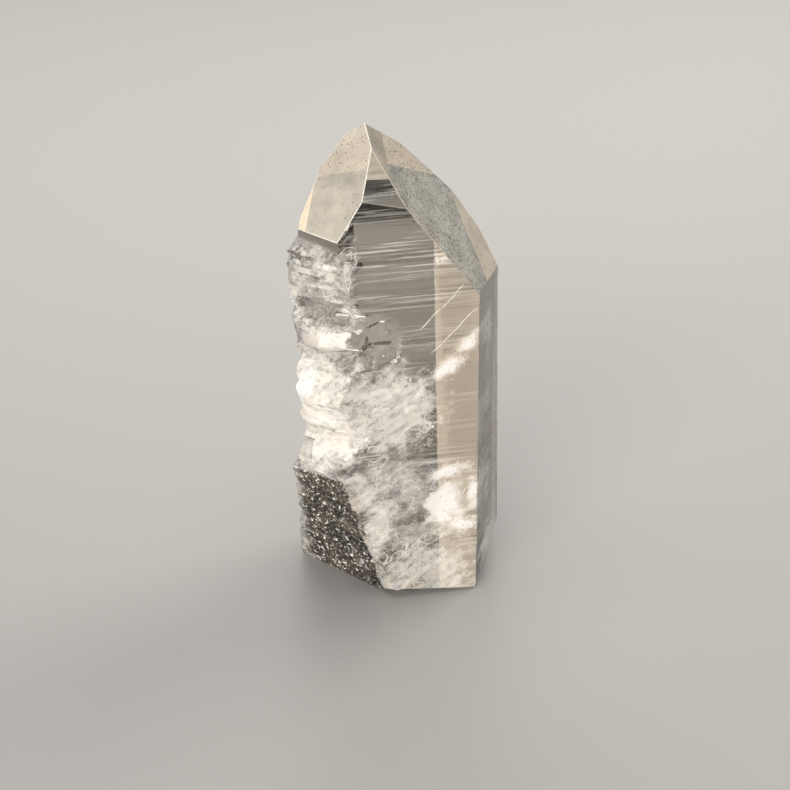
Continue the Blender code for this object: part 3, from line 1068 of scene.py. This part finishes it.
def milk_pattern(nodes, look):
    """White cloud with drawn-out wisps and hair-fine lines where the crystal is milky."""
    frost = look.frost
    uneven = nodes.times(nodes.less(look.texture, 0.5), nodes.range(frost, 0.0, 1.5, 1.1, 2.4))
    thick = nodes.plus(frost, uneven, nodes.times(nodes.less(look.crumbs, 0.5), 1.2))
    body = nodes.range(thick, 0.2, 1.3)
    upright = nodes.drawn(look.streaky, -90.0, (2.2, 1.0, 0.8))
    lines = nodes.most(
        nodes.hairline(nodes.noise(look.streaky, 330.0, 3.0, 0.6), 0.012),
        nodes.hairline(nodes.noise(upright, 260.0, 2.0, 0.6), 0.010))
    lines = nodes.times(lines, nodes.range(frost, 0.05, 0.4, 0.0, 0.9))
    return nodes.times(nodes.most(body, lines), nodes.range(frost, 0.02, 0.2))


def scar_pattern(nodes, look):
    """Scratched white on the scars, paler or clearer facet by facet, with hair-fine lines."""
    scratched = nodes.plus(nodes.times(look.texture, 0.35), nodes.times(look.crumbs, 0.35),
                           nodes.times(look.broad, 0.3), nodes.times(look.tone, 0.14))
    patches = nodes.range(scratched, 0.43, 0.60, 0.08, 0.8)
    lines = nodes.times(nodes.hairline(look.texture, 0.02), 0.7)
    return nodes.times(look.scar, nodes.most(patches, lines))


def distance_along(nodes, place, way, start):
    """How far a place on the front is from the start, measured in the direction way."""
    parts = nodes.times(place[0], way.x / MM), nodes.times(place[2], way.y / MM)
    return nodes.less(nodes.plus(*parts), start.dot(way))


def healed_cracks(nodes, look):
    """Thin pale lines, broken here and there, where healed cracks meet the front face."""
    place = nodes.add("ShaderNodeSeparateXYZ", Vector=look.where).outputs
    shift = nodes.times(nodes.less(look.broad, 0.5), CRACK_WANDER)
    found = []
    for start, end in HEALED_CRACKS:
        start, end = (Vector((x - STAND_CENTRE[0], z)) for x, z in (start, end))
        run = (end - start).normalized()
        along = distance_along(nodes, place, run, start)
        off = distance_along(nodes, place, Vector((run.y, -run.x)), start)
        off = nodes.size(nodes.plus(off, shift))
        reach = (end - start).length
        found.append(nodes.times(
            nodes.range(off, 0.3 * CRACK_WIDTH, CRACK_WIDTH, 1.0, 0.0),
            nodes.range(along, 0.0, CRACK_FADE), nodes.range(along, reach, reach - CRACK_FADE)))
    breaks = nodes.range(look.crumbs, 0.36, 0.5, 0.25, 0.9)
    return nodes.times(nodes.most(*found), breaks, nodes.range(look.lined, 0.5, 1.0))


def white_marks(nodes, look):
    """All that turns the clear stone white: milk, scars, growth lines, the highlight painted on
    the worn edges, cracks.
    """
    # The painted edge highlight, broken up by the crumbs.
    worn = nodes.times(look.worn, nodes.range(look.crumbs, 0.3, 0.6, 0.4, 1.0))
    return nodes.most(milk_pattern(nodes, look), scar_pattern(nodes, look),
                      nodes.times(look.pale_lines, 0.5), worn, healed_cracks(nodes, look))


def grain_colour(nodes, look):
    """Crumbly break painted near-black as shade, with brown hollows and a strew of bright crystal
    faces as painted glints.
    """
    chance = nodes.add("ShaderNodeSeparateColor", Color=look.cells.outputs["Color"]).outputs[0]
    # Painted shade: near-black, lifted to brown in places and paler in crumbs.
    dark = nodes.blend(nodes.range(look.broad, 0.38, 0.75), GRAIN_PAINTED_SHADE, GRAIN_BROWN)
    dark = nodes.blend(nodes.range(look.crumbs, 0.54, 0.72), dark, GRAIN_PALE)
    glints = nodes.times(nodes.range(chance, 0.66, 0.82), nodes.range(look.crumbs, 0.5, 0.55))
    return nodes.blend(glints, dark, GRAIN_GLINT)


def white_colour(nodes, look):
    """Cream where the stone is white, browner at stains, and pure white where the reflection in
    the bright fractures is painted.
    """
    cream = nodes.blend(nodes.range(look.broad, 0.35, 0.7), CREAM, DEEP_CREAM)
    brown = nodes.times(look.stain, nodes.range(look.crumbs, 0.3, 0.7, 0.45, 1.0))
    cream = nodes.blend(brown, cream, BROWN_STAIN)
    # Painted reflection: pure white over the bright fractures.
    return nodes.blend(nodes.range(look.frost, PAINTED_REFLECTION_LEVEL, 1.5), cream, PAINTED_FRACTURE_REFLECTION)


def stone_colour(nodes, look):
    """Nearly colourless stone, with the reflections painted in its zones, dark lines, white marks,
    pits and the grainy foot with its painted shade.
    """
    colour = nodes.blend(look.facet, CLEAR_STONE, SATIN_STONE)
    # Painted reflections of far faces seen through the stone: warm, then dark.
    colour = nodes.blend(look.warm, colour, PAINTED_WARM_REFLECTION)
    colour = nodes.blend(look.smoky, colour, PAINTED_DARK_REFLECTION)
    colour = nodes.blend(nodes.times(look.dark_lines, 0.65), colour, DARK_LINE)
    colour = nodes.blend(look.white, colour, white_colour(nodes, look))
    colour = nodes.blend(look.specks, colour, PIT_SHADOW)
    return nodes.blend(look.grain, colour, grain_colour(nodes, look))


def clearness(nodes, look):
    """How much light goes through: less where the stone is hazy, white, pitted or grainy."""
    hazy = nodes.times(look.facet, nodes.range(look.broad, 0.3, 0.7, 0.24, 0.44))
    clear = nodes.less(1.0, hazy)
    # Less light goes through the painted warm reflections, the white marks, the pits and the
    # grain.
    for mark, least in ((look.warm, 0.55), (look.white, 0.24),
                        (look.specks, 0.3), (look.grain, 0.12)):
        clear = nodes.times(clear, nodes.range(mark, 0.0, 1.0, 1.0, least))
    return clear


def roughness(nodes, look):
    """Glassy on the sound faces, satin on the facets and rougher where white or grainy."""
    return nodes.most(nodes.range(look.facet, 0.0, 1.0, 0.015, 0.11),
                      nodes.times(look.scar, 0.16), nodes.times(look.white, 0.5),
                      nodes.times(look.grain, 0.32))


def fine_relief(nodes, look):
    """Relief too fine for the mesh: crumbs on scars and frost, coarse grains, growth lines."""
    depth = nodes.plus(nodes.times(look.scar, 0.02), nodes.times(look.frost, 0.05))
    grains = nodes.times(look.cells.outputs["Distance"], look.grain, 0.35)
    height = nodes.plus(nodes.times(look.crumbs, depth), grains,
                        nodes.times(look.pale_lines, 0.02))
    return nodes.add("ShaderNodeBump", Strength=1.0, Distance=0.001, Height=height).outputs[0]


def quartz_material():
    """Clear quartz: smooth sides, satin pitted facets, frosted scars and a grainy foot."""
    material = bpy.data.materials.new("quartz")
    nodes = Nodes(material)
    shader = nodes.tree.nodes["Principled BSDF"]
    look = Look(nodes)
    nodes.put(shader.inputs["Base Color"], stone_colour(nodes, look))
    nodes.put(shader.inputs["Transmission Weight"], clearness(nodes, look))
    nodes.put(shader.inputs["Roughness"], roughness(nodes, look))
    nodes.put(shader.inputs["Normal"], fine_relief(nodes, look))
    nodes.put(shader.inputs["Coat Weight"], nodes.times(look.white, look.smooth))
    shader.inputs["Coat Roughness"].default_value = COAT_ROUGHNESS
    shader.inputs["IOR"].default_value = REFRACTION
    absorb = nodes.add("ShaderNodeVolumeAbsorption", Color=STONE_TINT, Density=TINT_DENSITY)
    nodes.put(nodes.tree.nodes["Material Output"].inputs["Volume"], absorb.outputs[0])
    return material


def floor_material():
    material = bpy.data.materials.new("pale_floor")
    shader = Nodes(material).tree.nodes["Principled BSDF"]
    shader.inputs["Base Color"].default_value = FLOOR_GREY
    shader.inputs["Roughness"].default_value = FLOOR_ROUGHNESS
    return material


def make_floor():
    shape = bmesh.new()
    bmesh.ops.create_circle(shape, cap_ends=True, segments=96, radius=FLOOR_RADIUS)
    mesh_object("floor", shape, floor_material())


def soft_light(name, place, size, power, colour):
    light = bpy.data.lights.new(name, "AREA")
    light.shape = "RECTANGLE"
    light.size, light.size_y = size
    light.energy = power
    light.color = colour
    lamp = new_object(name, light)
    lamp.location = place
    away = Vector(place) - Vector(LIT_PLACE)
    lamp.rotation_euler = away.to_track_quat("Z", "Y").to_euler()


def light_studio():
    world = bpy.data.worlds.new("studio")
    world.use_nodes = True
    world.node_tree.nodes["Background"].inputs["Color"].default_value = STUDIO_GREY
    bpy.context.scene.world = world
    for light in SOFT_LIGHTS:
        soft_light(*light)


def place_camera():
    lens = bpy.data.cameras.new("camera")
    lens.sensor_width = SENSOR_WIDTH
    lens.lens = SENSOR_WIDTH * FOCAL_PIXELS / PICTURE_PIXELS
    lens.clip_start = 0.01
    camera = new_object("camera", lens)
    turn, lift = math.radians(VIEW_AZIMUTH), math.radians(VIEW_ELEVATION)
    level = math.cos(lift)
    back = Vector((math.sin(turn) * level, -math.cos(turn) * level, math.sin(lift)))
    target = Vector(VIEW_TARGET) - Vector((*STAND_CENTRE, 0.0))
    camera.location = (target + back * VIEW_DISTANCE) * MM
    camera.rotation_euler = back.to_track_quat("Z", "Y").to_euler()
    bpy.context.scene.camera = camera


crystal = make_tower(quartz_material())
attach(crystal, "root")
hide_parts("quartz_tower")
make_floor()
light_studio()
place_camera()
bpy.context.scene.view_settings.view_transform = "Standard"
